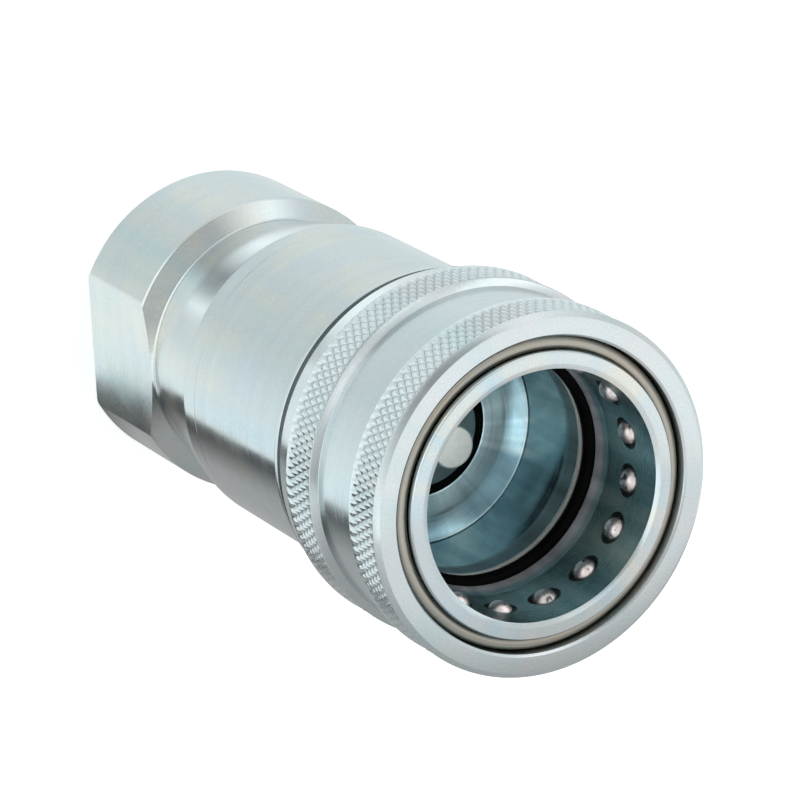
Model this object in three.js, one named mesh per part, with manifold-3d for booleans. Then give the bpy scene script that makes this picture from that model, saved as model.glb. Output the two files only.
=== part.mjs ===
// Quick disconnect coupler, female half, 1 inch size: the half with the sliding sleeve and the balls.
// Millimetres. +Z is the coupler's axis, from the port face at z = 0 to the nose face at z = LENGTH.
// +X is square to a wrench flat.
import * as THREE from "three";
import { mergeVertices } from "three/addons/utils/BufferGeometryUtils.js";
import Module from "manifold-3d";

const wasm = await Module();
wasm.setup();

// ---- Driving dimensions ----
const LENGTH = 105; // port face to nose face
const PROBE_DIAMETER = 34.3; // the mating probe's sealing diameter
const BODY_RADIUS = 23.8; // mid body
const REAR_RADIUS = 23.65; // round part behind the waist
const FLAT_APOTHEM = 21.1; // axis to a wrench flat
const GRIP_RADIUS = 27.2; // sleeve over its knurls
const NOSE_RADIUS = 21.45; // nose under the sleeve
const PORT_THREAD_RADIUS = 15.9; // female port, middle of its thread
const BALL_COUNT = 16;
const BALL_RADIUS = 1.98;
const PLAY = 0.3; // between pieces that rest on each other
const EDGE = 0.3; // small edge breaks
const FACETS = 48; // round a turned piece

// ---- Stations along the axis, as depths below the nose face ----
const SNAP_RING_DEPTH = 2.2;
const BALL_DEPTH = 7.5;
const LEAD_IN_DEPTH = 13.55; // where the ball bore narrows to the probe bore
const SEAL_DEPTH = 16.2; // front wall of the seal's groove
const SEAL_GROOVE = 3.2; // groove length
const SEAT_DEPTH = 33.9; // end of the probe bore
const SHOULDER_DEPTH = 31; // front end of the mid body
const SLEEVE_END = 34;
const CHAMBER_DEPTH = 38.9; // valve chamber, from here
const GUIDE_DEPTH = 60; // to here, where the valve guide rests
const SEAM_DEPTH = 63.5; // joint of front body and adapter
const TAPER_DEPTH = 67; // the waist starts
const WAIST_DEPTH = 83.45; // the waist is narrowest
const REAR_DEPTH = 85.7; // the rear round starts
const SPIGOT_END = 73; // the front body's threaded tail
const PORT_BOTTOM = LENGTH - 20;

// ---- Radii that follow from them ----
const PROBE_BORE = PROBE_DIAMETER / 2 + 0.1;
const BALL_BORE = PROBE_BORE + 1.55;
const BALL_CIRCLE = BALL_BORE + 0.83; // ball centres, balls locked
const BALL_TOP = BALL_CIRCLE + BALL_RADIUS; // their outermost point
const SEAL_FLOOR = PROBE_BORE + 2.35;
const WAIST_RADIUS = 20.6;
const SEAT_RADIUS = 10; // opening of the valve seat
const CHAMBER_RADIUS = 14.5;
const GUIDE_BORE = 17;
const SPIGOT_RADIUS = 20.3;
const PASSAGE_RADIUS = 12.75;
const STEM_RADIUS = 4;
const SNAP_WIRE = 1.1; // snap ring wire radius
const SNAP_RADIUS = NOSE_RADIUS + 0.8; // snap ring centre line

// ---- Helpers ----
// Turns an outline of [radius, depth] pairs: rear end, outside, front end, inside.
function turned(outline, facets = FACETS) {
  const points = outline.map(([radius, depth]) => new THREE.Vector2(radius, LENGTH - depth));
  const solidCore = outline[0][0] === 0;
  if (!solidCore) points.push(points[0].clone());
  return new THREE.LatheGeometry(points, facets).rotateX(Math.PI / 2);
}

// A ring of round wire.
function wireRing(radius, wire, depth, wireFacets) {
  const geometry = new THREE.TorusGeometry(radius, wire, wireFacets, FACETS);
  return geometry.translate(0, 0, LENGTH - depth);
}

function solidOf(geometry) {
  const bare = geometry.clone();
  bare.deleteAttribute("normal");
  bare.deleteAttribute("uv");
  const merged = mergeVertices(bare, 1e-4);
  const mesh = new wasm.Mesh({
    numProp: 3,
    vertProperties: merged.attributes.position.array,
    triVerts: new Uint32Array(merged.index.array),
  });
  return new wasm.Manifold(mesh);
}

function geometryOf(solid) {
  const mesh = solid.getMesh();
  const geometry = new THREE.BufferGeometry();
  geometry.setAttribute("position", new THREE.BufferAttribute(mesh.vertProperties, 3));
  geometry.setIndex(new THREE.BufferAttribute(mesh.triVerts, 1));
  geometry.computeVertexNormals();
  return geometry;
}

// Cuts every cutter away from a geometry.
function cut(geometry, cutters) {
  const rest = cutters.reduce((solid, cutter) => solid.subtract(solidOf(cutter)), solidOf(geometry));
  return geometryOf(rest);
}

// A helical compression spring with closed ends.
class CoilPath extends THREE.Curve {
  constructor(radius, turns, from, to) {
    super();
    Object.assign(this, { radius, turns, from, to });
  }
  getPoint(t, target = new THREE.Vector3()) {
    const angle = 2 * Math.PI * this.turns * t;
    const height = THREE.MathUtils.lerp(this.from, this.to, THREE.MathUtils.smoothstep(t, -0.12, 1.12));
    return target.set(this.radius * Math.cos(angle), this.radius * Math.sin(angle), height);
  }
}

function coil({ radius, wire, turns, front, rear }) {
  const from = LENGTH - rear + wire;
  const to = LENGTH - front - wire;
  const section = new THREE.Shape().absarc(0, 0, wire, 0, 2 * Math.PI);
  return new THREE.ExtrudeGeometry(section, {
    steps: Math.round(turns * 15),
    curveSegments: 3,
    extrudePath: new CoilPath(radius, turns, from, to),
  });
}

// ---- Materials ----
const FINISHES = {
  zinc: { color: 0xc3cdd0, roughness: 0.3, metalness: 1 },
  bore: { color: 0x8a98a0, roughness: 0.3, metalness: 1 },
  chrome: { color: 0xd9d5d6, roughness: 0.12, metalness: 1 },
  bronze: { color: 0x84705a, roughness: 0.35, metalness: 1 },
  springSteel: { color: 0x9aa0a6, roughness: 0.35, metalness: 1 },
  rubber: { color: 0x141516, roughness: 0.6, metalness: 0 },
  plastic: { color: 0xe6e4dc, roughness: 0.45, metalness: 0 },
  valve: { color: 0xb9bbb6, roughness: 0.5, metalness: 1 },
};

const group = new THREE.Group();
group.name = "quick_disconnect_coupler";

function add(name, geometry, finish) {
  const mesh = new THREE.Mesh(geometry, new THREE.MeshStandardMaterial(FINISHES[finish]));
  mesh.name = name;
  group.add(mesh);
}

// ---- Front body: nose, probe bore, valve seat, mid body and threaded tail in one turned piece ----
const SNAP_GROOVE_HALF = SNAP_WIRE + 0.1;
const SNAP_GROOVE_FLOOR = SNAP_RADIUS - SNAP_WIRE - PLAY;
const CIRCLIP_DEPTH = 65.9;
const CIRCLIP_GROOVE = 1.5;
const BODY_SEAL_DEPTH = 70.5;
const BODY_SEAL_GROOVE_HALF = 1.3;
const BODY_SEAL_FLOOR = SPIGOT_RADIUS - 1.7;
const SEAT_CONE = 3; // the seat opens by this much towards the chamber

function ballHoles() {
  const seatSlope = 0.36;
  const seatTop = BALL_BORE + 0.75;
  const cutterBottom = BALL_BORE - 1;
  const cutterTop = NOSE_RADIUS + 1;
  const holeRadius = BALL_RADIUS + 0.22;
  const bottomRadius = holeRadius - seatSlope * (seatTop - cutterBottom);
  const outline = [
    [0, cutterBottom],
    [bottomRadius, cutterBottom],
    [holeRadius, seatTop],
    [holeRadius, cutterTop],
    [0, cutterTop],
  ].map(([radius, height]) => new THREE.Vector2(radius, height));
  return ballAngles().map((angle) =>
    new THREE.LatheGeometry(outline, 16)
      .rotateZ(angle - Math.PI / 2)
      .translate(0, 0, LENGTH - BALL_DEPTH),
  );
}

function ballAngles() {
  const pitch = (2 * Math.PI) / BALL_COUNT;
  return Array.from({ length: BALL_COUNT }, (_, index) => (index + 0.5) * pitch);
}

const frontBody = turned([
  [GUIDE_BORE, SPIGOT_END],
  [SPIGOT_RADIUS - EDGE, SPIGOT_END],
  [SPIGOT_RADIUS, SPIGOT_END - EDGE],
  [SPIGOT_RADIUS, BODY_SEAL_DEPTH + BODY_SEAL_GROOVE_HALF],
  [BODY_SEAL_FLOOR, BODY_SEAL_DEPTH + BODY_SEAL_GROOVE_HALF],
  [BODY_SEAL_FLOOR, BODY_SEAL_DEPTH - BODY_SEAL_GROOVE_HALF],
  [SPIGOT_RADIUS, BODY_SEAL_DEPTH - BODY_SEAL_GROOVE_HALF],
  [SPIGOT_RADIUS, SEAM_DEPTH - PLAY / 2],
  [BODY_RADIUS - EDGE, SEAM_DEPTH - PLAY / 2],
  [BODY_RADIUS, SEAM_DEPTH - PLAY / 2 - EDGE],
  [BODY_RADIUS, SHOULDER_DEPTH],
  [NOSE_RADIUS, SHOULDER_DEPTH],
  [NOSE_RADIUS, SNAP_RING_DEPTH + SNAP_GROOVE_HALF],
  [SNAP_GROOVE_FLOOR, SNAP_RING_DEPTH + SNAP_GROOVE_HALF],
  [SNAP_GROOVE_FLOOR, SNAP_RING_DEPTH - SNAP_GROOVE_HALF],
  [NOSE_RADIUS, SNAP_RING_DEPTH - SNAP_GROOVE_HALF],
  [NOSE_RADIUS, EDGE],
  [NOSE_RADIUS - EDGE, 0],
  [BALL_BORE + EDGE, 0],
  [BALL_BORE, EDGE],
  [BALL_BORE, LEAD_IN_DEPTH],
  [PROBE_BORE + 0.9, SEAL_DEPTH],
  [SEAL_FLOOR, SEAL_DEPTH],
  [SEAL_FLOOR, SEAL_DEPTH + SEAL_GROOVE],
  [PROBE_BORE, SEAL_DEPTH + SEAL_GROOVE],
  [PROBE_BORE, SEAT_DEPTH],
  [SEAT_RADIUS, SEAT_DEPTH + 1.2],
  [SEAT_RADIUS + SEAT_CONE, SEAT_DEPTH + 3.7],
  [CHAMBER_RADIUS, CHAMBER_DEPTH],
  [CHAMBER_RADIUS, GUIDE_DEPTH],
  [GUIDE_BORE, GUIDE_DEPTH],
  [GUIDE_BORE, CIRCLIP_DEPTH],
  [GUIDE_BORE + 0.9, CIRCLIP_DEPTH],
  [GUIDE_BORE + 0.9, CIRCLIP_DEPTH + CIRCLIP_GROOVE],
  [GUIDE_BORE, CIRCLIP_DEPTH + CIRCLIP_GROOVE],
]);
add("front_body", cut(frontBody, ballHoles()), "zinc");

// ---- Adapter: seam collar, tapered waist, rear round with two wrench flats, female port ----
const PORT_CHAMFER = 1;

function flatCutters() {
  const reach = REAR_RADIUS + 5;
  const thickness = reach - FLAT_APOTHEM;
  const length = LENGTH - WAIST_DEPTH + 2;
  return [1, -1].map((side) =>
    new THREE.BoxGeometry(thickness, 2 * reach, length).translate(
      side * (FLAT_APOTHEM + thickness / 2),
      0,
      length / 2 - 1,
    ),
  );
}

const adapter = turned([
  [PORT_THREAD_RADIUS + PORT_CHAMFER, LENGTH],
  [REAR_RADIUS - 0.5, LENGTH],
  [REAR_RADIUS, LENGTH - 0.5],
  [REAR_RADIUS, REAR_DEPTH],
  [WAIST_RADIUS, WAIST_DEPTH],
  [BODY_RADIUS, TAPER_DEPTH],
  [BODY_RADIUS, SEAM_DEPTH + PLAY / 2 + EDGE],
  [BODY_RADIUS - EDGE, SEAM_DEPTH + PLAY / 2],
  [SPIGOT_RADIUS + PLAY, SEAM_DEPTH + PLAY / 2],
  [SPIGOT_RADIUS + PLAY, SPIGOT_END + PLAY],
  [PASSAGE_RADIUS, SPIGOT_END + PLAY],
  [PASSAGE_RADIUS, PORT_BOTTOM],
  [PORT_THREAD_RADIUS, PORT_BOTTOM],
  [PORT_THREAD_RADIUS, LENGTH - PORT_CHAMFER],
]);
add("adapter", cut(adapter, flatCutters()), "zinc");

// ---- Sleeve: two grip bands with a smooth groove between, a cone and a lip at the rear, and inside
// the ball ramp and the spring chamber ----
const FRONT_CHAMFER = 0.8;
const GROOVE_START = 8; // smooth groove between the front and rear knurls
const GROOVE_END = 19.25;
const GROOVE_RADIUS = GRIP_RADIUS - 1.2;
const REAR_KNURL_START = 19.9;
const REAR_KNURL_END = 26.8; // a smooth cone follows
const CONE_END = 31.4;
const CONE_RADIUS = 25.9;
const REAR_GROOVE_RADIUS = 25.1;
const REAR_LIP_START = 33.2;
const REAR_LIP_RADIUS = 25.5;
const SKIRT_BORE = BODY_RADIUS + PLAY;
const RING_BORE = 23.55; // round the snap ring, and over the balls when they are free
const RAMP_START = SNAP_RING_DEPTH + SNAP_WIRE + PLAY;
const RAMP_RADIUS = 23.15;
const LAND_START = 6.9; // balls are locked behind this
const LAND_END = 10.8;
const LAND_RADIUS = BALL_TOP + 0.25;
const CHAMBER_WALL = 13; // front wall of the spring chamber

const sleeve = turned([
  [SKIRT_BORE, SLEEVE_END],
  [REAR_LIP_RADIUS - EDGE, SLEEVE_END],
  [REAR_LIP_RADIUS, SLEEVE_END - EDGE],
  [REAR_LIP_RADIUS, REAR_LIP_START],
  [REAR_GROOVE_RADIUS, REAR_LIP_START],
  [REAR_GROOVE_RADIUS, CONE_END],
  [CONE_RADIUS, CONE_END],
  [GRIP_RADIUS, REAR_KNURL_END],
  [GRIP_RADIUS, REAR_KNURL_START],
  [GROOVE_RADIUS, GROOVE_END],
  [GROOVE_RADIUS, GROOVE_START + 0.5],
  [GRIP_RADIUS, GROOVE_START],
  [GRIP_RADIUS, FRONT_CHAMFER],
  [GRIP_RADIUS - FRONT_CHAMFER, 0],
  [RING_BORE, 0],
  [RING_BORE, RAMP_START],
  [RAMP_RADIUS, RAMP_START],
  [LAND_RADIUS, LAND_START],
  [LAND_RADIUS, LAND_END],
  [NOSE_RADIUS + PLAY, LAND_END],
  [NOSE_RADIUS + PLAY, CHAMBER_WALL],
  [SKIRT_BORE, CHAMBER_WALL],
]);
add("sleeve", sleeve, "zinc");

const sleeveSpring = {
  radius: (NOSE_RADIUS + SKIRT_BORE) / 2,
  wire: 0.8,
  turns: 5,
  front: CHAMBER_WALL + PLAY,
  rear: SHOULDER_DEPTH - PLAY,
};
add("sleeve_spring", coil(sleeveSpring), "springSteel");

add("snap_ring", wireRing(SNAP_RADIUS, SNAP_WIRE, SNAP_RING_DEPTH, 8), "bronze");

// ---- Locking balls, one in each hole ----
ballAngles().forEach((angle, index) => {
  const ball = new THREE.IcosahedronGeometry(BALL_RADIUS, 2).translate(
    BALL_CIRCLE * Math.cos(angle),
    BALL_CIRCLE * Math.sin(angle),
    LENGTH - BALL_DEPTH,
  );
  add(`ball_${String(index + 1).padStart(2, "0")}`, ball, "chrome");
});

// ---- Seals ----
const SEAL_WIRE = 1.2;
const SEAL_RADIUS = PROBE_BORE - 0.25 + SEAL_WIRE; // the O-ring stands a little into the bore
const sealCentreDepth = SEAL_DEPTH + 0.1 + SEAL_WIRE;
add("main_seal", wireRing(SEAL_RADIUS, SEAL_WIRE, sealCentreDepth, 8), "rubber");

const BACKUP_FRONT = SEAL_DEPTH + 2.6;
const BACKUP_REAR = SEAL_DEPTH + SEAL_GROOVE - 0.1;
const backupRing = turned([
  [PROBE_BORE + 0.05, BACKUP_REAR],
  [SEAL_FLOOR - 0.15, BACKUP_REAR],
  [SEAL_FLOOR - 0.15, BACKUP_FRONT],
  [PROBE_BORE + 0.05, BACKUP_FRONT],
]);
add("backup_ring", backupRing, "plastic");

const BODY_SEAL_WIRE = 0.85;
const BODY_SEAL_RADIUS = BODY_SEAL_FLOOR + 0.15 + BODY_SEAL_WIRE;
add("body_seal", wireRing(BODY_SEAL_RADIUS, BODY_SEAL_WIRE, BODY_SEAL_DEPTH, 6), "rubber");

// ---- Valve: poppet, its seal, guide, circlip and spring ----
const TIP_DEPTH = 25.9;
const TIP_RADIUS = 3.25;
const FLANGE_DEPTH = 38.4;
const FLANGE_LENGTH = 2;
const FLANGE_RADIUS = 12.2;
const SEAL_NECK = 8.4;
const STEM_END = 75;

const poppet = turned(
  [
    [0, STEM_END],
    [STEM_RADIUS - EDGE, STEM_END],
    [STEM_RADIUS, STEM_END - EDGE],
    [STEM_RADIUS, FLANGE_DEPTH + FLANGE_LENGTH],
    [FLANGE_RADIUS, FLANGE_DEPTH + FLANGE_LENGTH],
    [FLANGE_RADIUS, FLANGE_DEPTH],
    [SEAL_NECK, FLANGE_DEPTH],
    [SEAL_NECK, 34.4],
    [TIP_RADIUS + 1.2, 31.4],
    [TIP_RADIUS, 28.6],
    [TIP_RADIUS, TIP_DEPTH + EDGE],
    [TIP_RADIUS - EDGE, TIP_DEPTH],
    [0, TIP_DEPTH],
  ],
  32,
);
add("poppet", poppet, "valve");

const poppetSeal = turned([
  [SEAL_NECK + 0.2, FLANGE_DEPTH - 0.2],
  [11.6, FLANGE_DEPTH - 0.2],
  [11.9, 37],
  [9.4, 34.8],
  [SEAL_NECK + 0.2, 34.8],
]);
add("poppet_seal", poppetSeal, "rubber");

const GUIDE_FRONT = GUIDE_DEPTH + PLAY;
const GUIDE_REAR = CIRCLIP_DEPTH - 0.2;
const GUIDE_RADIUS = GUIDE_BORE - 0.2;
const HUB_RADIUS = 6.6;
const WINDOW_COUNT = 3;

// Flow windows: curved slots between the guide's hub and rim.
function guideWindows() {
  const inner = HUB_RADIUS + 0.6;
  const outer = GUIDE_RADIUS - 2.3;
  const half = THREE.MathUtils.degToRad(47);
  const slot = new THREE.Shape();
  slot.absarc(0, 0, outer, -half, half, false);
  slot.absarc(0, 0, inner, half, -half, true);
  slot.closePath();
  const cutters = [];
  for (let index = 0; index < WINDOW_COUNT; index += 1) {
    const cutter = new THREE.ExtrudeGeometry(slot, { depth: 8, bevelEnabled: false, curveSegments: 10 });
    cutter.rotateZ((index * 2 * Math.PI) / WINDOW_COUNT);
    cutters.push(cutter.translate(0, 0, LENGTH - GUIDE_REAR - 1));
  }
  return cutters;
}

const guide = turned([
  [STEM_RADIUS + PLAY, GUIDE_REAR],
  [GUIDE_RADIUS, GUIDE_REAR],
  [GUIDE_RADIUS, GUIDE_FRONT],
  [STEM_RADIUS + PLAY, GUIDE_FRONT],
]);
add("valve_guide", cut(guide, guideWindows()), "bore");

// The circlip is open on one side.
const CIRCLIP_OUTER = GUIDE_BORE + 0.7;
const CIRCLIP_INNER = GUIDE_BORE - 1.6;
const circlip = turned([
  [CIRCLIP_INNER, CIRCLIP_DEPTH + CIRCLIP_GROOVE - 0.15],
  [CIRCLIP_OUTER, CIRCLIP_DEPTH + CIRCLIP_GROOVE - 0.15],
  [CIRCLIP_OUTER, CIRCLIP_DEPTH + 0.15],
  [CIRCLIP_INNER, CIRCLIP_DEPTH + 0.15],
]);
const circlipGap = new THREE.BoxGeometry(6, 5, 4).translate(GUIDE_BORE, 0, LENGTH - CIRCLIP_DEPTH - 0.75);
add("guide_ring", cut(circlip, [circlipGap]), "springSteel");

const poppetSpring = {
  radius: 9.2,
  wire: 0.85,
  turns: 5,
  front: FLANGE_DEPTH + FLANGE_LENGTH + PLAY,
  rear: GUIDE_FRONT - PLAY,
};
add("poppet_spring", coil(poppetSpring), "springSteel");

export default group;
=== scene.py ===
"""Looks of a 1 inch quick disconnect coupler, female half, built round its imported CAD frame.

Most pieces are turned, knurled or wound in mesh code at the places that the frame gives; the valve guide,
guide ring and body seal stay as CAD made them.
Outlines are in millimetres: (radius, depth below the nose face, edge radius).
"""

import math

import bmesh
import bpy
import numpy as np
from mathutils import Matrix, Vector


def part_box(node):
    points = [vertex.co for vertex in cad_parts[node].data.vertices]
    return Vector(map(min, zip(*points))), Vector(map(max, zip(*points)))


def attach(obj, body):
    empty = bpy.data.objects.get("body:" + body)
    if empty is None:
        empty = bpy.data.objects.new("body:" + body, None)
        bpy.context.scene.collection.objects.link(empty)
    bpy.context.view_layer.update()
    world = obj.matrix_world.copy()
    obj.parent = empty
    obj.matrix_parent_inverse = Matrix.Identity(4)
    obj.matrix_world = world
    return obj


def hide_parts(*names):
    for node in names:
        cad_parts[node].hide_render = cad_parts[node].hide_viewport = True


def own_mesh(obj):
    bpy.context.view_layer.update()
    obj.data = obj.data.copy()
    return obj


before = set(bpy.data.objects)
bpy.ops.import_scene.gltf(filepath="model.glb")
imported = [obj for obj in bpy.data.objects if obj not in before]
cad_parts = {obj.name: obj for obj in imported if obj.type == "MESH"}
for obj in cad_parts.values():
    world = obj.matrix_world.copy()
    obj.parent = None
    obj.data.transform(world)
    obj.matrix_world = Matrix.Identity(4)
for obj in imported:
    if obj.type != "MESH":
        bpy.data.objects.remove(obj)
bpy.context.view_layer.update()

MM = 0.001
TAU = 2 * math.pi


# ---------------------------------------------------------------- sizes from the frame
def reach(node, axis):
    """A node's highest coordinate along an axis, in millimetres."""
    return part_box(node)[1][axis] / MM


def depths(node):
    """Front and rear depth of a node below the nose face, in millimetres."""
    low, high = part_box(node)
    return LENGTH - high.z / MM, LENGTH - low.z / MM


LENGTH = reach("front_body", 2)
BODY = reach("front_body", 0)  # mid body radius
GRIP = reach("sleeve", 0)  # radius over the knurls
SLEEVE_END = depths("sleeve")[1]
SPIGOT_END = depths("front_body")[1]
SEAM = depths("adapter")[0] - 0.15  # joint of front body and adapter
SEAM_GAP = 0.03  # either side of the seam
TIP = depths("poppet")[0]
STEM_END = depths("poppet")[1]
SNAP_FRONT, SNAP_REAR = depths("snap_ring")
BALL_FRONT, BALL_REAR = depths("ball_01")
BALL_RADIUS = (BALL_REAR - BALL_FRONT) / 2
BALL_DEPTH = (BALL_REAR + BALL_FRONT) / 2
BALL_CIRCLE = (sum(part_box("ball_01"), Vector()) / 2).xy.length / MM  # to the balls' centres

NOSE = 21.45  # nose under the sleeve
BALL_BORE = 18.8
PROBE_BORE = 17.25
REAR = 23.65  # rear round
WAIST, WAIST_DEPTH = 20.6, 83.45
FLAT = 21.1  # axis to a wrench flat
SPIGOT = 20.3  # the front body's tail in the adapter
CLEARANCE = 0.3  # between pieces that slide or fit in each other
PORT_MAJOR, PORT_MINOR, PORT_PITCH = 16.62, 15.15, 2.309  # female pipe thread
KNURL_PITCH = 1.485  # round the sleeve
KNURL_ANGLE = math.radians(30)  # of the grooves to the axis
KNURL_TEETH = round(TAU * GRIP / KNURL_PITCH)
KNURL_STEPS = 8  # columns and rows to one diamond
KNURL_DEPTH = 0.38
FINE, FINER = 192, KNURL_TEETH * KNURL_STEPS  # columns round a piece


# ---------------------------------------------------------------- turned meshes
class Band:
    """A stretch of outline cut in rows, whose surface may stand off by relief(angle, depth), in mm."""

    def __init__(self, radius, start, end, rows, relief=None, crossed=False):
        self.radius, self.start, self.end = radius, start, end
        self.rows, self.relief, self.crossed = rows, relief, crossed


def edge_arc(before, corner, after, radius, steps=4):
    """Points of the round edge at a corner, between the two straight sides."""
    to_before, to_after = Vector(before) - Vector(corner), Vector(after) - Vector(corner)
    turn = math.pi - to_before.angle(to_after)
    if turn < 0.02:
        return [tuple(corner)]
    trim = min(radius * math.tan(turn / 2), 0.45 * to_before.length, 0.45 * to_after.length)
    start = Vector(corner) + to_before.normalized() * trim
    end = Vector(corner) + to_after.normalized() * trim
    points = []
    for step in range(steps + 1):
        share = step / steps
        # a quadratic curve is close enough to an arc for an edge this small
        point = (1 - share) ** 2 * start + 2 * share * (1 - share) * Vector(corner) + share**2 * end
        points.append(tuple(point))
    return points


def rows_of(outline, closed):
    """The rings of a turned mesh: (radius, depth, relief, crossed)."""
    ends = []
    for item in outline:
        if isinstance(item, Band):
            ends.append(((item.radius, item.start), (item.radius, item.end)))
        else:
            ends.append((item[:2], item[:2]))
    rows = []
    for index, item in enumerate(outline):
        if isinstance(item, Band):
            for row in range(item.rows + 1):
                depth = item.start + (item.end - item.start) * row / item.rows
                rows.append((item.radius, depth, item.relief, item.crossed and row < item.rows))
            continue
        if not closed and index in (0, len(outline) - 1):
            rows.append((item[0], item[1], None, False))
            continue
        before, after = ends[index - 1][1], ends[(index + 1) % len(outline)][0]
        for radius, depth in edge_arc(before, item[:2], after, item[2]):
            rows.append((radius, depth, None, False))
    return rows


def turned(name, outline, columns=FINE, closed=True):
    """A turned piece from its outline: rear end, outside, front end, inside."""
    rows = rows_of(outline, closed)
    angles = np.arange(columns) * TAU / columns
    cosines, sines = np.cos(angles), np.sin(angles)
    points, rings, faces, flat = [], [], [], []
    for radius, depth, relief, _ in rows:
        z = (LENGTH - depth) * MM
        if radius < 1e-6:
            rings.append([len(points)] * columns)
            points.append((0.0, 0.0, z))
            continue
        radii = np.full(columns, radius) if relief is None else radius + relief(angles, depth)
        rings.append(list(range(len(points), len(points) + columns)))
        points.extend(zip(radii * MM * cosines, radii * MM * sines, np.full(columns, z)))
    pairs = list(zip(range(len(rows)), range(1, len(rows))))
    if closed:
        pairs.append((len(rows) - 1, 0))
    for lower, upper in pairs:
        crossed = rows[lower][3]
        for column in range(columns):
            after = (column + 1) % columns
            a, b = rings[lower][column], rings[lower][after]
            c, d = rings[upper][after], rings[upper][column]
            if crossed:
                even = (column + lower - crossed_start(rows, lower)) % 2 == 0
                faces += [(a, b, c), (a, c, d)] if even else [(a, b, d), (b, c, d)]
                flat += [True, True]
            else:
                corners = tuple(dict.fromkeys((a, b, c, d)))
                if len(corners) > 2:
                    faces.append(corners)
                    flat.append(False)
    mesh = bpy.data.meshes.new(name)
    mesh.from_pydata([tuple(map(float, point)) for point in points], [], faces)
    mesh.polygons.foreach_set("use_smooth", [not is_flat for is_flat in flat])
    return link(name, mesh)


def crossed_start(rows, index):
    """The first row of the band that a row is in."""
    while index > 0 and rows[index - 1][3]:
        index -= 1
    return index


def link(name, mesh):
    piece = bpy.data.objects.new(name, mesh)
    bpy.context.scene.collection.objects.link(piece)
    return piece


def modified(piece, kind, **settings):
    """Adds a modifier and applies it."""
    modifier = piece.modifiers.new(kind.lower(), kind)
    for key, value in settings.items():
        setattr(modifier, key, value)
    depsgraph = bpy.context.evaluated_depsgraph_get()
    shown = piece.evaluated_get(depsgraph)
    result = bpy.data.meshes.new_from_object(shown, preserve_all_data_layers=True, depsgraph=depsgraph)
    piece.modifiers.clear()
    piece.data = result


def crisp(piece, angle=32):
    """Smooth shading that keeps edges sharper than the angle and large faces true."""
    piece.data.set_sharp_from_angle(angle=math.radians(angle))
    modified(piece, "WEIGHTED_NORMAL", keep_sharp=True, weight=80)


def cut(piece, cutter):
    modified(piece, "BOOLEAN", operation="DIFFERENCE", object=cutter, solver="EXACT")
    bpy.data.objects.remove(cutter)


# ---------------------------------------------------------------- node graphs
class Graph:
    """A node tree, with short calls for the nodes used here."""

    def __init__(self, tree):
        self.tree = tree

    def node(self, kind, inputs=(), **settings):
        made = self.tree.nodes.new(kind)
        for key, value in settings.items():
            setattr(made, key, value)
        for key, value in dict(inputs).items():
            self.put(made.inputs[key], value)
        return made

    def put(self, socket, value):
        if isinstance(value, bpy.types.NodeSocket):
            self.tree.links.new(value, socket)
        else:
            socket.default_value = value

    def maths(self, operation, first, second=0.0):
        made = self.node("ShaderNodeMath", {0: first, 1: second}, operation=operation)
        return made.outputs[0]

    def noise(self, vector, scale, detail=2.0, roughness=0.5, distortion=0.0):
        made = self.node(
            "ShaderNodeTexNoise",
            {"Vector": vector, "Scale": scale, "Detail": detail, "Roughness": roughness,
             "Distortion": distortion},
        )
        return made.outputs["Fac"]

    def ramp(self, value, low, high, start=0.0, end=1.0):
        """value mapped from low..high to start..end, clamped."""
        made = self.node(
            "ShaderNodeMapRange",
            {"Value": value, "From Min": low, "From Max": high, "To Min": start, "To Max": end},
        )
        return made.outputs["Result"]

    def blend(self, share, first, second, kind="MIX"):
        made = self.node("ShaderNodeMix", data_type="RGBA", blend_type=kind)
        self.put(made.inputs[0], share)
        self.put(made.inputs[6], first)
        self.put(made.inputs[7], second)
        return made.outputs[2]


class Surface(Graph):
    """A material's node tree."""

    def __init__(self, name):
        self.material = bpy.data.materials.new(name)
        self.material.use_nodes = True
        super().__init__(self.material.node_tree)
        self.shader = self.tree.nodes["Principled BSDF"]
        self.place = self.node("ShaderNodeTexCoord").outputs["Object"]

    def turning(self):
        """Coordinates in which turned grooves are level: (radius, z) and the direction round."""
        parts = self.node("ShaderNodeSeparateXYZ", {0: self.place})
        flat = self.node("ShaderNodeCombineXYZ", {0: parts.outputs[0], 1: parts.outputs[1]})
        radius = self.node("ShaderNodeVectorMath", {0: flat.outputs[0]}, operation="LENGTH")
        rings = self.node("ShaderNodeCombineXYZ", {0: radius.outputs["Value"], 1: parts.outputs[2]})
        around = self.node("ShaderNodeVectorMath", {0: flat.outputs[0]}, operation="NORMALIZE")
        return rings.outputs[0], around.outputs[0], parts.outputs[2]

    def bump(self, height, distance):
        made = self.node("ShaderNodeBump", {"Height": height, "Distance": distance, "Strength": 1.0})
        self.put(self.shader.inputs["Normal"], made.outputs[0])

    def glow(self, colour, strength):
        self.put(self.shader.inputs["Emission Color"], colour)
        self.shader.inputs["Emission Strength"].default_value = strength

    def finish(self, colour, roughness, metallic=1.0):
        self.put(self.shader.inputs["Base Color"], colour)
        self.put(self.shader.inputs["Roughness"], roughness)
        self.shader.inputs["Metallic"].default_value = metallic
        return self.material


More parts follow.
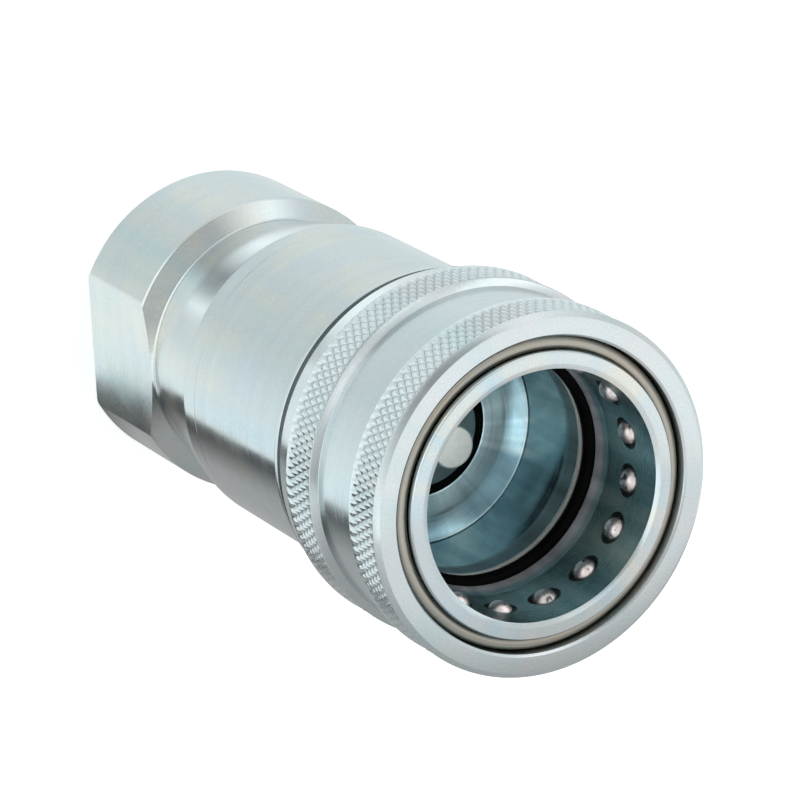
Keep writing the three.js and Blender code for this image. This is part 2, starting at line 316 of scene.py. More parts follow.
def plated(name, tones, roughness, groove=0.0000012, streak=0.5, stain=0.0, crest_wear_and_groove_shade=None, ring=None):
    """Zinc plated steel as turned: fine rings, slow colour drift of the plating, small marks."""
    colour, cool, warm = tones
    graph = Surface(name)
    rings, around, height = graph.turning()
    fine = graph.noise(rings, 5200.0, 2.0, 0.6)
    broad = graph.noise(rings, 420.0, 2.0)
    spun = graph.node("ShaderNodeVectorMath", {0: around, 1: (2.6, 2.6, 2.6)}, operation="MULTIPLY")
    lifted = graph.node("ShaderNodeCombineXYZ", {2: graph.maths("MULTIPLY", height, 14.0)})
    drift_at = graph.node("ShaderNodeVectorMath", {0: spun.outputs[0], 1: lifted.outputs[0]}, operation="ADD")
    drift = graph.noise(drift_at.outputs[0], 1.0, 3.0, 0.55, 0.4)
    patches = graph.noise(graph.place, 95.0, 3.0, 0.6, 0.6)
    grain = graph.noise(graph.place, 2600.0, 3.0, 0.7)
    tint = graph.blend(graph.ramp(drift, 0.36, 0.62), cool, warm)
    tone = graph.blend(graph.ramp(patches, 0.3, 0.7, 0.0, streak), colour, tint)
    if ring:
        # a belt of another tone round the axis, with soft edges
        middle, half, other = ring
        off = graph.maths("ABSOLUTE", graph.maths("SUBTRACT", height, (LENGTH - middle) * MM))
        belt = graph.ramp(off, half * MM, (half + 1.4) * MM, 1.0, 0.0)
        tone = graph.blend(belt, tone, other)
    rubbed = graph.ramp(grain, 0.25, 0.75, 0.93, 1.05)
    shade = graph.maths("MULTIPLY", rubbed, graph.ramp(broad, 0.3, 0.7, 0.98, 1.02))
    shade = graph.maths("MULTIPLY", shade, graph.ramp(drift, 0.34, 0.62, 1.0 - stain, 1.0 + stain))
    if crest_wear_and_groove_shade:
        # crests are rubbed bright by wear, and the grooves between them are darkened: painted shade
        root, crest = crest_wear_and_groove_shade
        radius = graph.node("ShaderNodeSeparateXYZ", {0: rings}).outputs[0]
        shade = graph.maths("MULTIPLY", shade, graph.ramp(radius, root * MM, crest * MM, 0.80, 1.20))
    grey = graph.node("ShaderNodeCombineXYZ", {0: shade, 1: shade, 2: shade}).outputs[0]
    tone = graph.blend(1.0, tone, grey, "MULTIPLY")
    rough = graph.ramp(patches, 0.3, 0.7, roughness, roughness + 0.08)
    rough = graph.maths("ADD", rough, graph.ramp(fine, 0.3, 0.7, -0.05, 0.06))
    if ring:
        rough = graph.maths("ADD", rough, graph.maths("MULTIPLY", belt, 0.3))
    graph.bump(graph.maths("ADD", fine, graph.maths("MULTIPLY", grain, 0.5)), groove)
    return graph.finish(tone, rough)


# Each metal: its own tone, and the cool and the warm tone that its plating drifts to. The tones of the ball
# bore, the ball holes and the sleeve's recesses are darkened: painted shade.
BODY_ZINC = (0.56, 0.61, 0.635, 1), (0.47, 0.60, 0.66, 1), (0.66, 0.65, 0.58, 1)
ADAPTER_ZINC = (0.56, 0.61, 0.635, 1), (0.50, 0.63, 0.64, 1), (0.68, 0.66, 0.60, 1)
SLEEVE_ZINC = (0.60, 0.65, 0.665, 1), (0.52, 0.63, 0.65, 1), (0.66, 0.64, 0.66, 1)
BORE_ZINC = (0.48, 0.66, 0.73, 1), (0.38, 0.62, 0.74, 1), (0.54, 0.62, 0.62, 1)
# darker than the bore zinc: painted shade in the ball bore
BALL_BORE_SHADED_ZINC = (0.34, 0.44, 0.43, 1), (0.24, 0.40, 0.42, 1), (0.42, 0.44, 0.40, 1)
# near black for the walls of the ball holes: painted shade round the balls
HOLE_SHADE_STEEL = (0.06, 0.07, 0.07, 1), (0.05, 0.06, 0.07, 1), (0.08, 0.08, 0.07, 1)
# dark zinc for the sleeve's rear groove and rear end face: painted shade
RECESS_SHADE_STEEL = (0.16, 0.19, 0.19, 1), (0.12, 0.15, 0.16, 1), (0.20, 0.21, 0.19, 1)
SPRING_STEEL = (0.42, 0.43, 0.45, 1), (0.36, 0.38, 0.42, 1), (0.50, 0.46, 0.40, 1)
BRONZE = (0.42, 0.40, 0.35, 1), (0.36, 0.37, 0.33, 1), (0.48, 0.40, 0.34, 1)
VALVE_STEEL = (0.40, 0.42, 0.41, 1), (0.34, 0.38, 0.38, 1), (0.46, 0.45, 0.41, 1)
# belts of another tone: depth, half width and tone. The lighter lead-in belt is a painted reflection.
LEAD_IN_LIGHT_BELT = (15.4, 0.5, (0.70, 0.66, 0.68, 1))
SEAL_SIDE_BELT = (20.2, 1.6, (0.30, 0.38, 0.40, 1))  # darker, rougher belt of the bore beside the seal

MATERIALS = {
    "body": plated("zinc_body", BODY_ZINC, 0.13, streak=0.9),
    "bore": plated("zinc_bore", BORE_ZINC, 0.12, streak=1.0, stain=0.3, ring=SEAL_SIDE_BELT),
    "ball_bore": plated("zinc_ball_bore_shade_and_light", BALL_BORE_SHADED_ZINC, 0.24, streak=1.0, stain=0.3, ring=LEAD_IN_LIGHT_BELT),
    "hole": plated("zinc_hole_painted_shade", HOLE_SHADE_STEEL, 0.35),
    "adapter": plated("zinc_adapter", ADAPTER_ZINC, 0.13, streak=0.9),
    "sleeve": plated("zinc_sleeve", SLEEVE_ZINC, 0.15, streak=0.7),
    "knurl": plated("zinc_knurl", SLEEVE_ZINC, 0.17, streak=0.7, crest_wear_and_groove_shade=(GRIP - KNURL_DEPTH, GRIP)),
    "painted_shade": plated("zinc_painted_shade", RECESS_SHADE_STEEL, 0.3),
    "spring": plated("spring_steel", SPRING_STEEL, 0.3),
    "bronze": plated("bronze_wire", BRONZE, 0.3),
    "valve": plated("valve_steel", VALVE_STEEL, 0.36, groove=0.000003),
}


def ball_steel():
    graph = Surface("ball_steel")
    marks = graph.noise(graph.place, 1500.0, 3.0, 0.6)
    haze = graph.noise(graph.place, 260.0, 2.0)
    tone = graph.blend(graph.ramp(haze, 0.35, 0.65), (0.92, 0.80, 0.79, 1), (0.80, 0.76, 0.77, 1))
    specks = graph.noise(graph.place, 720.0, 2.0, 0.5, 0.6)
    tone = graph.blend(graph.ramp(specks, 0.60, 0.66), tone, (0.16, 0.14, 0.14, 1))
    graph.bump(marks, 0.00001)
    return graph.finish(tone, graph.ramp(marks, 0.3, 0.7, 0.30, 0.42))


def rubber():
    graph = Surface("seal_rubber")
    grain = graph.noise(graph.place, 3800.0, 4.0, 0.65)
    bloom = graph.noise(graph.place, 160.0, 3.0, 0.6)
    tone = graph.blend(graph.ramp(bloom, 0.35, 0.75), (0.0015, 0.0015, 0.0015, 1), (0.005, 0.005, 0.005, 1))
    graph.bump(grain, 0.00001)
    graph.shader.inputs["Specular IOR Level"].default_value = 0.04
    return graph.finish(tone, graph.ramp(bloom, 0.3, 0.7, 0.45, 0.62), 0.0)


def backup_plastic():
    graph = Surface("backup_plastic")
    grain = graph.noise(graph.place, 1800.0, 3.0, 0.6)
    tone = graph.blend(graph.ramp(grain, 0.3, 0.7), (0.72, 0.70, 0.64, 1), (0.80, 0.79, 0.74, 1))
    graph.bump(grain, 0.000006)
    return graph.finish(tone, graph.ramp(grain, 0.3, 0.7, 0.34, 0.5), 0.0)


def matt_lit_steel():
    """The blunt tip of the valve, left dull; its near white tone is painted light."""
    graph = Surface("valve_tip_painted_light")
    grain = graph.noise(graph.place, 900.0, 4.0, 0.65)
    pits = graph.noise(graph.place, 2800.0, 2.0, 0.6)
    tone = graph.blend(graph.ramp(grain, 0.35, 0.65), (0.82, 0.88, 0.84, 1), (0.95, 0.98, 0.95, 1))
    graph.bump(pits, 0.000008)
    return graph.finish(tone, graph.ramp(grain, 0.3, 0.7, 0.40, 0.52), 0.7)


MATERIALS["ball"] = ball_steel()
MATERIALS["tip"] = matt_lit_steel()
MATERIALS["rubber"] = rubber()
MATERIALS["backup"] = backup_plastic()


def dress(piece, material, body, slot, *nodes):
    """Gives a piece its material, the body it rides on and the CAD nodes it stands for; slot is not used."""
    piece.data.materials.clear()
    piece.data.materials.append(MATERIALS[material])
    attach(piece, body)
    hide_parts(*nodes)


def place_of(face):
    """A face's distance from the axis and its depth below the nose face, in millimetres."""
    return math.hypot(face.center.x, face.center.y) / MM, LENGTH - face.center.z / MM


# ---------------------------------------------------------------- front body
BALL_COUNT = 16
BALL_ANGLES = [TAU * (index + 0.5) / BALL_COUNT for index in range(BALL_COUNT)]


def ball_hole_cutter():
    """Sixteen holes: a cone that opens into the bore, a narrow lip that holds the ball, a straight bore."""
    hole = BALL_RADIUS + 0.22
    lip = hole - 0.2
    stations = [
        (BALL_BORE - 0.9, hole + 1.1), (BALL_BORE + 0.4, lip), (BALL_BORE + 0.55, lip),
        (BALL_BORE + 0.9, hole), (NOSE + 1, hole),
    ]
    sides = 40
    points, faces = [], []
    for angle in BALL_ANGLES:
        out = Vector((math.cos(angle), math.sin(angle), 0))
        side = Vector((-math.sin(angle), math.cos(angle), 0))
        base = len(points)
        for distance, radius in stations:
            for step in range(sides):
                turn = TAU * step / sides
                point = out * distance + side * radius * math.cos(turn)
                point.z = LENGTH - BALL_DEPTH + radius * math.sin(turn)
                points.append(tuple(point * MM))
        for level in range(len(stations) - 1):
            for step in range(sides):
                after = (step + 1) % sides
                low, high = base + level * sides, base + (level + 1) * sides
                faces.append((low + step, low + after, high + after, high + step))
        last = base + (len(stations) - 1) * sides
        faces.append(tuple(base + step for step in reversed(range(sides))))
        faces.append(tuple(last + step for step in range(sides)))
    mesh = bpy.data.meshes.new("ball_holes")
    mesh.from_pydata(points, [], faces)
    return link("ball_holes", mesh)


SHOULDER = 31.0  # front end of the mid body
LEAD_IN = 13.55  # where the ball bore narrows to the probe bore
SEAL_FRONT, SEAL_REAR, SEAL_FLOOR = 16.2, 19.4, 19.6  # groove of the main seal
SEAT = 33.9  # end of the probe bore
SEAT_HOLE = 10.0
CHAMBER, CHAMBER_FRONT, CHAMBER_REAR = 14.5, 38.9, 60.0  # valve chamber
GUIDE_BORE = 17.0
CLIP_FRONT, CLIP_REAR, CLIP_FLOOR = 65.9, 67.4, 17.9  # groove of the circlip
BODY_SEAL_FRONT, BODY_SEAL_REAR, BODY_SEAL_FLOOR = 69.2, 71.8, 18.6  # groove of the body seal
SNAP_FLOOR = NOSE - 0.6

outside = [
    (GUIDE_BORE, SPIGOT_END, 0.3), (SPIGOT, SPIGOT_END, 0.4), (SPIGOT, BODY_SEAL_REAR, 0.1),
    (BODY_SEAL_FLOOR, BODY_SEAL_REAR, 0.1), (BODY_SEAL_FLOOR, BODY_SEAL_FRONT, 0.1),
    (SPIGOT, BODY_SEAL_FRONT, 0.1), (SPIGOT, SEAM - SEAM_GAP, 0.1), (BODY, SEAM - SEAM_GAP, 0.08),
    (BODY, SHOULDER, 0.4), (NOSE, SHOULDER, 0.2), (NOSE, SNAP_REAR + 0.1, 0.06),
    (SNAP_FLOOR, SNAP_REAR + 0.1, 0.06), (SNAP_FLOOR, SNAP_FRONT - 0.1, 0.06), (NOSE, SNAP_FRONT - 0.1, 0.06),
    (NOSE, 0.3, 0.1), (NOSE - 0.25, 0.0, 0.1),
]
inside = [
    (BALL_BORE + 0.75, 0.0, 0.1), (BALL_BORE, 0.24, 0.05), Band(BALL_BORE, 4.6, 10.4, rows=14),
    (BALL_BORE, LEAD_IN, 4.0), (PROBE_BORE + 0.9, SEAL_FRONT, 0.2), (SEAL_FLOOR, SEAL_FRONT, 0.1),
    (SEAL_FLOOR, SEAL_REAR, 0.1), (PROBE_BORE, SEAL_REAR, 0.2), (PROBE_BORE, SEAT, 0.35),
    (SEAT_HOLE, SEAT + 1.2, 0.15), (SEAT_HOLE + 3.0, SEAT + 3.7, 0.3), (CHAMBER, CHAMBER_FRONT, 0.3),
    (CHAMBER, CHAMBER_REAR, 0.2), (GUIDE_BORE, CHAMBER_REAR, 0.2), (GUIDE_BORE, CLIP_FRONT, 0.05),
    (CLIP_FLOOR, CLIP_FRONT, 0.05), (CLIP_FLOOR, CLIP_REAR, 0.05), (GUIDE_BORE, CLIP_REAR, 0.05),
]
front_body = turned("front_body_turned", outside + inside, columns=256)
cut(front_body, ball_hole_cutter())
crisp(front_body)
dress(front_body, "body", "coupler_body", "body_steel", "front_body")
for material in ("bore", "ball_bore", "hole"):
    front_body.data.materials.append(MATERIALS[material])
IN_BORE, IN_BALL_BORE, IN_HOLE_SHADE = 1, 2, 3
for face in front_body.data.polygons:
    away, depth = place_of(face)
    if away < BALL_BORE + 0.02 and depth > 0.26:
        face.material_index = IN_BALL_BORE if depth < SEAL_FRONT else IN_BORE
    # the walls of the ball holes take the near black zinc: painted shade round the balls
    elif away < NOSE - 0.02 and abs(depth - BALL_DEPTH) < BALL_RADIUS + 1:
        face.material_index = IN_HOLE_SHADE


# ---------------------------------------------------------------- adapter
PASSAGE = 12.75
PORT_BOTTOM = 85.0
PORT_MOUTH = 17.2
THREAD_FRONT, THREAD_REAR = 86.5, 103.9


def port_thread(angles, depth):
    """Female pipe thread: its crests stand in from the major radius and run out at both ends."""
    turn = (depth / PORT_PITCH + angles / TAU) % 1.0
    crest = np.clip(1.25 - 3.2 * np.abs(turn - 0.5), 0, 1) * (PORT_MAJOR - PORT_MINOR)
    run_in = max(0.0, (depth - THREAD_FRONT - 0.1) / 1.2)
    run_out = max(0.0, (THREAD_REAR - 0.3 - depth) / 0.9)
    return -crest * min(1.0, run_in, run_out)


adapter = turned("adapter_turned", [
    (PORT_MOUTH, LENGTH, 0.2), (REAR, LENGTH, 0.6), (REAR, 85.7, 0.8), (WAIST, WAIST_DEPTH, 0.6),
    (BODY, 67.0, 2.5), (BODY, SEAM + SEAM_GAP, 0.08), (SPIGOT + CLEARANCE, SEAM + SEAM_GAP, 0.1),
    (SPIGOT + CLEARANCE, SPIGOT_END + CLEARANCE, 0.3), (PASSAGE, SPIGOT_END + CLEARANCE, 0.4),
    (PASSAGE, PORT_BOTTOM, 0.3), (PORT_MAJOR + 0.1, PORT_BOTTOM, 0.3),
    Band(PORT_MAJOR, THREAD_FRONT, THREAD_REAR, rows=150, relief=port_thread),
])


def flat_cutter():
    """Two blocks that cut the wrench flats."""
    made = bmesh.new()
    for side in (1, -1):
        block = bmesh.ops.create_cube(made, size=1.0)
        height = LENGTH - WAIST_DEPTH
        placed = Matrix.Translation(Vector((side * (FLAT + 6), 0, height / 2 - 1)) * MM)
        scaled = Matrix.Diagonal((12 * MM, 70 * MM, (height + 2) * MM, 1))
        bmesh.ops.transform(made, matrix=placed @ scaled, verts=block["verts"])
    mesh = bpy.data.meshes.new("flat_cutter")
    made.to_mesh(mesh)
    return link("flat_cutter", mesh)


cut(adapter, flat_cutter())
crisp(adapter)
dress(adapter, "adapter", "coupler_body", "adapter_steel", "adapter")


# ---------------------------------------------------------------- sleeve
GROOVE = GRIP - 1.2  # between the knurled bands
FRONT_KNURL = (0.8, 7.8)
REAR_KNURL = (19.9, 26.9)
CONE, CONE_END = 25.9, 31.4
REAR_GROOVE = 25.1
LIP, LIP_START = 25.5, 33.2
SNAP_BORE = 23.48  # round the snap ring
RAMP, RAMP_START = 23.15, 3.6
LAND = BALL_CIRCLE + BALL_RADIUS + 0.25  # locks the balls
LAND_FRONT, LAND_REAR = 6.9, 10.8
SPRING_WALL = 13.0


def diamonds(band, front_fade):
    """Diamond knurl: two families of V grooves that cross, cut into the grip radius."""
    start, end = band
    rows = round((end - start) * math.tan(KNURL_ANGLE) / KNURL_PITCH * KNURL_STEPS)
    axial = (end - start) / rows * KNURL_STEPS

    def relief(angles, depth):
        across = angles / TAU * KNURL_TEETH
        along = (depth - start) / axial
        nearest = []
        for sign in (1, -1):
            groove = across + sign * along
            nearest.append(np.abs(groove - np.round(groove)))
        rise = np.minimum(1, 1.5 * np.minimum(*nearest) + 0.45 * (nearest[0] + nearest[1]))
        fade = min(1, (depth - start) / front_fade, end - depth)  # grooves run out at the band's ends
        return (rise - 1) * fade * KNURL_DEPTH

    return relief, rows


front_relief, front_rows = diamonds(FRONT_KNURL, 0.45)
rear_relief, rear_rows = diamonds(REAR_KNURL, 0.6)
sleeve = turned("sleeve_knurled", [
    (BODY + CLEARANCE, SLEEVE_END, 0.15), (LIP, SLEEVE_END, 0.25), (LIP, LIP_START, 0.3),
    (REAR_GROOVE, LIP_START, 0.1), (REAR_GROOVE, CONE_END, 0.1), (CONE, CONE_END, 0.35),
    (GRIP - 0.05, REAR_KNURL[1] + 0.1, 0.1),
    Band(GRIP, REAR_KNURL[1], REAR_KNURL[0], rear_rows, rear_relief, crossed=True),
    (GRIP - 0.12, REAR_KNURL[0] - 0.03, 0.03), (GROOVE, REAR_KNURL[0] - 0.65, 0.15),
    (GROOVE, FRONT_KNURL[1] + 0.5, 0.5),
    Band(GRIP, FRONT_KNURL[1], FRONT_KNURL[0], front_rows, front_relief, crossed=True),
    (GRIP, 0.78, 0.1), (GRIP - 0.8, 0.0, 0.08), (SNAP_BORE + 0.42, 0.0, 0.05), (SNAP_BORE + 0.07, 0.3, 0.06),
    (SNAP_BORE, RAMP_START, 0.1), (RAMP, RAMP_START, 0.1), (LAND, LAND_FRONT, 0.2), (LAND, LAND_REAR, 0.03),
    (NOSE + CLEARANCE, LAND_REAR, 0.03), (NOSE + CLEARANCE, SPRING_WALL, 0.1),
    (BODY + CLEARANCE, SPRING_WALL, 0.1),
], columns=FINER)
crisp(sleeve, 40)
dress(sleeve, "sleeve", "sleeve", "sleeve_steel", "sleeve")
sleeve.data.materials.append(MATERIALS["knurl"])
sleeve.data.materials.append(MATERIALS["painted_shade"])
KNURLED, IN_RECESS_SHADE = 1, 2
# the knurls take their own zinc; the rear groove and the rear end face take the dark zinc, painted shade
for face in sleeve.data.polygons:
    away, depth = place_of(face)
    toothed = FRONT_KNURL[0] < depth < FRONT_KNURL[1] or REAR_KNURL[0] < depth < REAR_KNURL[1]
    painted_shade_place = CONE_END < depth < LIP_START or depth > SLEEVE_END - 0.02
    if toothed and away > GROOVE + 0.3:
        face.material_index = KNURLED
    elif painted_shade_place and BODY + 0.35 < away < LIP - 0.2:
        face.material_index = IN_RECESS_SHADE

# ---------------------------------------------------------------- rings and balls
def ring_like(node, name):
    """A closed ring of round wire in a node's place."""
    front, rear = depths(node)
    wire = (rear - front) / 2
    radius = reach(node, 0) - wire
    around = 28
    turns = [TAU * step / around for step in range(around)]
    centre = (front + rear) / 2
    return turned(name, [
        (radius + wire * math.sin(turn), centre + wire * math.cos(turn), 0.001) for turn in turns
    ])


snap_ring = ring_like("snap_ring", "snap_ring_wire")
crisp(snap_ring, 60)
dress(snap_ring, "bronze", "coupler_body", "bronze_wire", "snap_ring")

main_seal = ring_like("main_seal", "main_seal_ring")
crisp(main_seal, 60)
dress(main_seal, "rubber", "coupler_body", "seal_rubber", "main_seal")

backup_front, backup_rear = depths("backup_ring")
backup_ring = turned("backup_ring_turned", [
    (PROBE_BORE + 0.05, backup_rear, 0.08), (SEAL_FLOOR - 0.15, backup_rear, 0.08),
    (SEAL_FLOOR - 0.15, backup_front, 0.08), (PROBE_BORE + 0.05, backup_front, 0.08),
])
crisp(backup_ring)
dress(backup_ring, "backup", "coupler_body", "backup_plastic", "backup_ring")

for index, angle in enumerate(BALL_ANGLES):
    node = f"ball_{index + 1:02d}"
    low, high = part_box(node)
    centre = (low + high) / 2
    made = bmesh.new()
    bmesh.ops.create_icosphere(made, subdivisions=4, radius=BALL_RADIUS * MM)
    bmesh.ops.translate(made, verts=made.verts, vec=centre)
    mesh = bpy.data.meshes.new(f"{node}_polished")
    made.to_mesh(mesh)
    mesh.polygons.foreach_set("use_smooth", [True] * len(mesh.polygons))
    dress(link(f"{node}_polished", mesh), "ball", node, "ball_steel", node)

# ---------------------------------------------------------------- valve
STEM = 4.0
HEAD, HEAD_FRONT, HEAD_REAR = 12.2, 38.4, 40.4
NECK, NECK_FRONT = 8.4, 34.4
TIP_RADIUS = 3.25

poppet = turned("poppet_turned", [
    (0.0, STEM_END, 0), (STEM, STEM_END, 0.4), (STEM, HEAD_REAR, 0.3), (HEAD, HEAD_REAR, 0.3),
    (HEAD, HEAD_FRONT, 0.3), (NECK, HEAD_FRONT, 0.1), (NECK, NECK_FRONT, 0.3), (4.45, 31.4, 2.5),
    (TIP_RADIUS, 28.6, 0.6), (TIP_RADIUS, TIP, 0.35), (0.0, TIP, 0),
], columns=128, closed=False)
crisp(poppet)
dress(poppet, "valve", "valve", "valve_steel", "poppet")
poppet.data.materials.append(MATERIALS["tip"])
# the valve's tip takes the near white steel: painted light
for face in poppet.data.polygons:
    face.material_index = int(place_of(face)[1] < TIP + 1.2)

poppet_seal = turned("poppet_seal_moulded", [
    (NECK + 0.2, HEAD_FRONT - 0.2, 0.1), (HEAD - 0.6, HEAD_FRONT - 0.2, 0.2), (HEAD - 0.3, 37.0, 0.3),
    (NECK + 1.0, NECK_FRONT + 0.4, 0.3), (NECK + 0.2, NECK_FRONT + 0.4, 0.15),
])
crisp(poppet_seal)
dress(poppet_seal, "rubber", "valve", "seal_rubber", "poppet_seal")


# ---------------------------------------------------------------- springs
def coil(name, node, radius, wire, turns):
    """A compression spring with closed, ground ends."""
    front_depth, rear_depth = depths(node)
    low, high = LENGTH - rear_depth + wire, LENGTH - front_depth - wire
    steps, sides = int(turns * 60), 16
    points, faces = [], []
    for step in range(steps + 1):
        share = step / steps
        angle = TAU * turns * share
        eased = min(1.0, max(0.0, share * 1.24 - 0.12))  # the end turns are closed
        eased = eased * eased * (3 - 2 * eased)
        height = low + (high - low) * eased
        for side in range(sides):
            turn = TAU * side / sides
            away = radius + wire * math.cos(turn)
            points.append((away * math.cos(angle) * MM, away * math.sin(angle) * MM,
                           (height + wire * math.sin(turn)) * MM))
    for step in range(steps):
        for side in range(sides):
            after = (side + 1) % sides
            here, there = step * sides, (step + 1) * sides
            faces.append((here + side, there + side, there + after, here + after))
    faces.append(tuple(range(sides)))
    faces.append(tuple(steps * sides + side for side in reversed(range(sides))))
    mesh = bpy.data.meshes.new(name)
    mesh.from_pydata(points, [], faces)
    mesh.polygons.foreach_set("use_smooth", [True] * len(mesh.polygons))
    piece = link(name, mesh)
    crisp(piece, 60)
    dress(piece, "spring", "coupler_body", "spring_steel", node)
    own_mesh(piece)


coil("sleeve_spring_wound", "sleeve_spring", (NOSE + BODY + CLEARANCE) / 2, 0.8, 5)
coil("poppet_spring_wound", "poppet_spring", 9.2, 0.85, 5)

# pieces that stay as CAD made them
for node, material in {"valve_guide": "valve", "guide_ring": "spring", "body_seal": "rubber"}.items():
    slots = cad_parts[node].data.materials
    for index in range(len(slots)):
        slots[index] = MATERIALS[material]

# ---------------------------------------------------------------- camera
CAMERA_AIM = Vector((-0.00231, -0.00118, 0.05853))
CAMERA_DISTANCE = 0.72
CAMERA_AZIMUTH = math.radians(-36.201)
CAMERA_ELEVATION = math.radians(56.756)
CAMERA_ROLL = math.radians(118.608)


def direction(azimuth, elevation):
    """The way from the object towards a place round it."""
    level = math.cos(elevation)
    return Vector((level * math.cos(azimuth), level * math.sin(azimuth), math.sin(elevation)))


camera_back = direction(CAMERA_AZIMUTH, CAMERA_ELEVATION)
camera_data = bpy.data.cameras.new("camera")
camera_data.sensor_width = 36
camera_data.lens = 215.9
camera_data.clip_start, camera_data.clip_end = 0.01, 50
camera = link("camera", camera_data)
level_right = Vector((-math.sin(CAMERA_AZIMUTH), math.cos(CAMERA_AZIMUTH), 0))
level_turn = Matrix((level_right, camera_back.cross(level_right), camera_back)).transposed()
camera_turn = level_turn @ Matrix.Rotation(CAMERA_ROLL, 3, "Z")
camera.matrix_world = Matrix.Translation(CAMERA_AIM + camera_back * CAMERA_DISTANCE) @ camera_turn.to_4x4()
bpy.context.scene.camera = camera

# ---------------------------------------------------------------- studio
floor_mesh = bpy.data.meshes.new("floor")
made = bmesh.new()
bmesh.ops.create_circle(made, cap_ends=True, segments=96, radius=6.0)
made.to_mesh(floor_mesh)
floor = link("floor", floor_mesh)
floor_graph = Surface("floor_paper")
cloud = floor_graph.noise(floor_graph.place, 3.0, 2.0)
tone = floor_graph.blend(floor_graph.ramp(cloud, 0.3, 0.7), (0.86, 0.86, 0.86, 1), (0.88, 0.88, 0.88, 1))
floor_mesh.materials.append(floor_graph.finish(tone, 0.9, 0.0))
floor_graph.glow((1, 1, 1, 1), 0.42)
floor.visible_glossy = False
floor.visible_shadow = False


# one large soft light over the bore
light_data = bpy.data.lights.new("key", "AREA")
light_data.shape, light_data.size, light_data.energy = "DISK", 0.8, 0.5
light = link("key", light_data)
light_way = direction(math.radians(144), math.radians(57))
light.location = Vector((0, 0, 0.05)) + light_way * 1.2
light.rotation_mode = "QUATERNION"
light.rotation_quaternion = light_way.to_track_quat("Z", "Y")

# A glowing card beside the part, seen only in its polished metal: a painted reflection of a table in shade,
# grey, with a darker rim, white at its top and left.
CARD_SIDE = 27.8
CARD_OUTLINE = [
    (-70, 175), (88, 175), (61, 22), (52, -9), (50, -44), (46, -58), (37, -61), (20, -45), (-70, -38),
]
card_mesh = bpy.data.meshes.new("painted_table_shadow_card")
card_corners = [(x * MM, CARD_SIDE * MM, z * MM) for x, z in CARD_OUTLINE]
card_mesh.from_pydata(card_corners, [], [range(len(card_corners))])
card = link("painted_table_shadow_card", card_mesh)
card_graph = Surface("painted_table_shadow_card")
card_place = card_graph.node("ShaderNodeSeparateXYZ", {0: card_graph.place})
card_x, card_z = card_place.outputs[0], card_place.outputs[2]
right_edge = card_graph.maths("ADD", card_graph.maths("MULTIPLY", card_z, 0.167), 0.0575)
to_right = card_graph.maths("SUBTRACT", right_edge, card_x)
to_rear = card_graph.maths("ADD", card_z, 0.048)
grey = card_graph.ramp(card_graph.maths("MINIMUM", to_right, to_rear), 0.016, 0.034, 0.10, 0.46)
grey = card_graph.maths("MAXIMUM", grey, card_graph.ramp(card_x, -0.066, -0.015, 1.0, 0.0))
upper = card_graph.maths(
    "MULTIPLY", card_graph.ramp(card_z, 0.096, 0.104), card_graph.ramp(card_z, 0.104, 0.142, 0.5, 1.0)
)
grey = card_graph.maths("MAXIMUM", grey, upper)
card_mesh.materials.append(card_graph.finish((0, 0, 0, 1), 1.0, 0.0))
card_graph.glow(card_graph.node("ShaderNodeCombineXYZ", {0: grey, 1: grey, 2: grey}).outputs[0], 1.0)
card_graph.shader.inputs["Specular IOR Level"].default_value = 0.0
card.visible_camera = False
card.visible_diffuse = False
card.visible_shadow = False

# The studio is a pale tent with soft panels. Each ring of it lists (direction round the part in degrees,
# brightness), from below the part to overhead.
TENT_BELOW = [
    (-180, 1.10), (-147, 1.40), (-113, 0.70), (-99, 0.36), (-80, 0.40), (-61, 0.70), (-37, 1.35), (-12, 0.95),
    (20, 0.92), (50, 1.10), (110, 1.10), (180, 1.10),
]
TENT_LOW = [
    (-180, 0.90), (-150, 0.97), (-126, 1.02), (-80, 0.93), (-36, 0.88), (2, 1.10), (52, 1.26), (75, 1.20),
    (110, 0.90), (146, 0.84), (180, 0.90),
]
TENT_LEVEL = [
    (-180, 0.95), (-150, 0.90), (-118, 1.25), (-104, 1.20), (-78, 0.88), (-63, 0.80), (-47, 1.55), (-7, 1.60),
    (14, 1.15), (32, 0.80), (75, 0.40), (100, 0.60), (140, 1.20), (180, 0.95),
]
TENT_RAISED = [
    (-180, 1.20), (-165, 1.60), (-125, 1.60), (-108, 1.10), (-90, 0.55), (-60, 0.40), (-40, 0.50), (0, 1.20),
    (16, 1.50), (46, 1.35), (64, 0.65), (90, 0.75), (125, 1.00), (155, 0.60), (180, 1.20),
]
TENT_HIGH = [
    (-180, 0.85), (-148, 0.88), (-124, 0.86), (-105, 1.20), (-85, 0.72), (-35, 0.66), (-13, 0.60), (6, 0.60),
    (27, 0.42), (48, 0.30), (90, 0.50), (120, 0.85), (144, 0.97), (165, 0.92), (180, 0.85),
]
TENT_UPPER = [
    (-180, 0.85), (-150, 0.90), (-125, 1.00), (-108, 1.50), (-92, 1.30), (-74, 0.95), (-60, 1.00),
    (-48, 1.55), (-22, 1.50), (-5, 0.75), (48, 0.50), (90, 0.70), (120, 0.85), (144, 0.97), (180, 0.85),
]
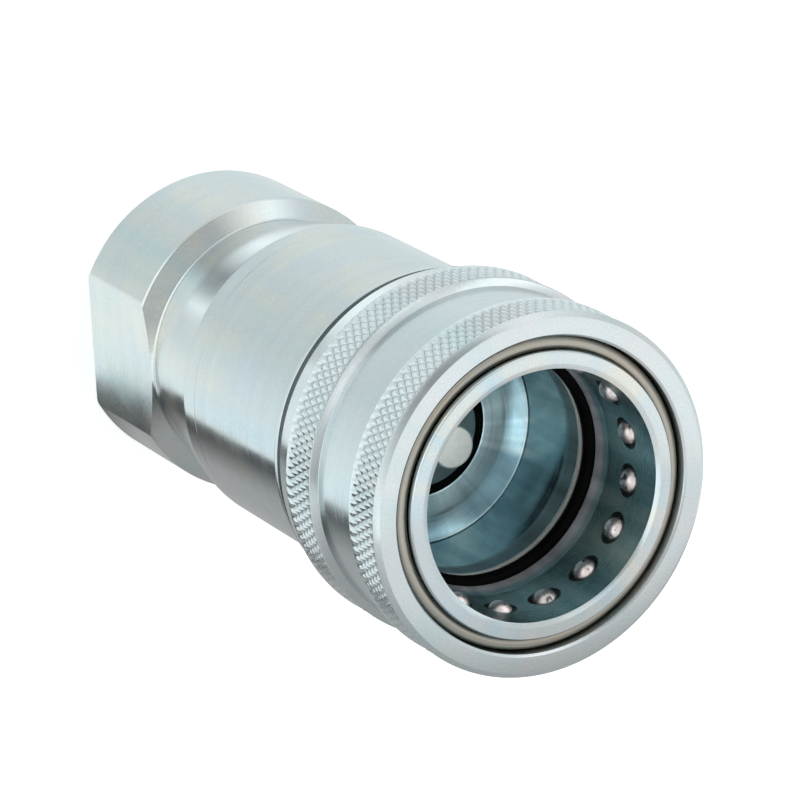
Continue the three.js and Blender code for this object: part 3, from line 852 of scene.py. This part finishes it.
TENT_TOP = [
    (-180, 0.90), (-150, 1.15), (-130, 1.05), (-116, 0.50), (-98, 0.32), (-72, 0.50), (-50, 0.60),
    (-30, 0.50), (-12, 0.55), (4, 1.25), (20, 1.60), (60, 1.60), (95, 1.00), (144, 0.95), (180, 0.90),
]
# where each ring takes over from the one below it, as the sine of the elevation
TENT_JOINTS = [
    (-0.95, -0.90, TENT_LOW), (-0.62, -0.12, TENT_LEVEL), (0.40, 0.50, TENT_RAISED), (0.65, 0.69, TENT_HIGH),
    (0.795, 0.825, TENT_UPPER), (0.885, 0.91, TENT_TOP),
]
BRIGHTEST = 1.6


def panels(sky, azimuth, stops):
    """One ring of the tent as a grey that changes softly with the direction."""
    ramp = sky.node("ShaderNodeValToRGB", {"Fac": azimuth})
    made = ramp.color_ramp.elements
    for degrees, _ in stops[1:-1]:
        made.new((degrees + 180) / 360)
    for stop, (_, brightness) in zip(made, stops):
        grey = brightness / BRIGHTEST
        stop.color = (grey, grey, grey, 1)
    return ramp.outputs["Color"]


world = bpy.data.worlds.new("studio")
bpy.context.scene.world = world
world.use_nodes = True
sky = Graph(world.node_tree)
background = sky.tree.nodes["Background"]
parts = sky.node("ShaderNodeSeparateXYZ", {0: sky.node("ShaderNodeTexCoord").outputs["Generated"]})
azimuth = sky.ramp(sky.maths("ARCTAN2", parts.outputs[1], parts.outputs[0]), -math.pi, math.pi)
rise = parts.outputs[2]
tent = panels(sky, azimuth, TENT_BELOW)
for start, end, stops in TENT_JOINTS:
    tent = sky.blend(sky.ramp(rise, start, end), tent, panels(sky, azimuth, stops))
tint = sky.blend(sky.ramp(rise, -0.9, 0.2), (0.935, 1.02, 1.03, 1), (0.97, 1.0, 0.995, 1))
tent = sky.blend(1.0, tent, tint, "MULTIPLY")
tent = sky.blend(1.0, tent, (BRIGHTEST, BRIGHTEST, BRIGHTEST, 1), "MULTIPLY")
seen = sky.node("ShaderNodeLightPath").outputs["Is Camera Ray"]
sky.put(background.inputs["Color"], sky.blend(seen, tent, (1, 1, 1, 1)))
bpy.context.scene.view_settings.view_transform = "Standard"
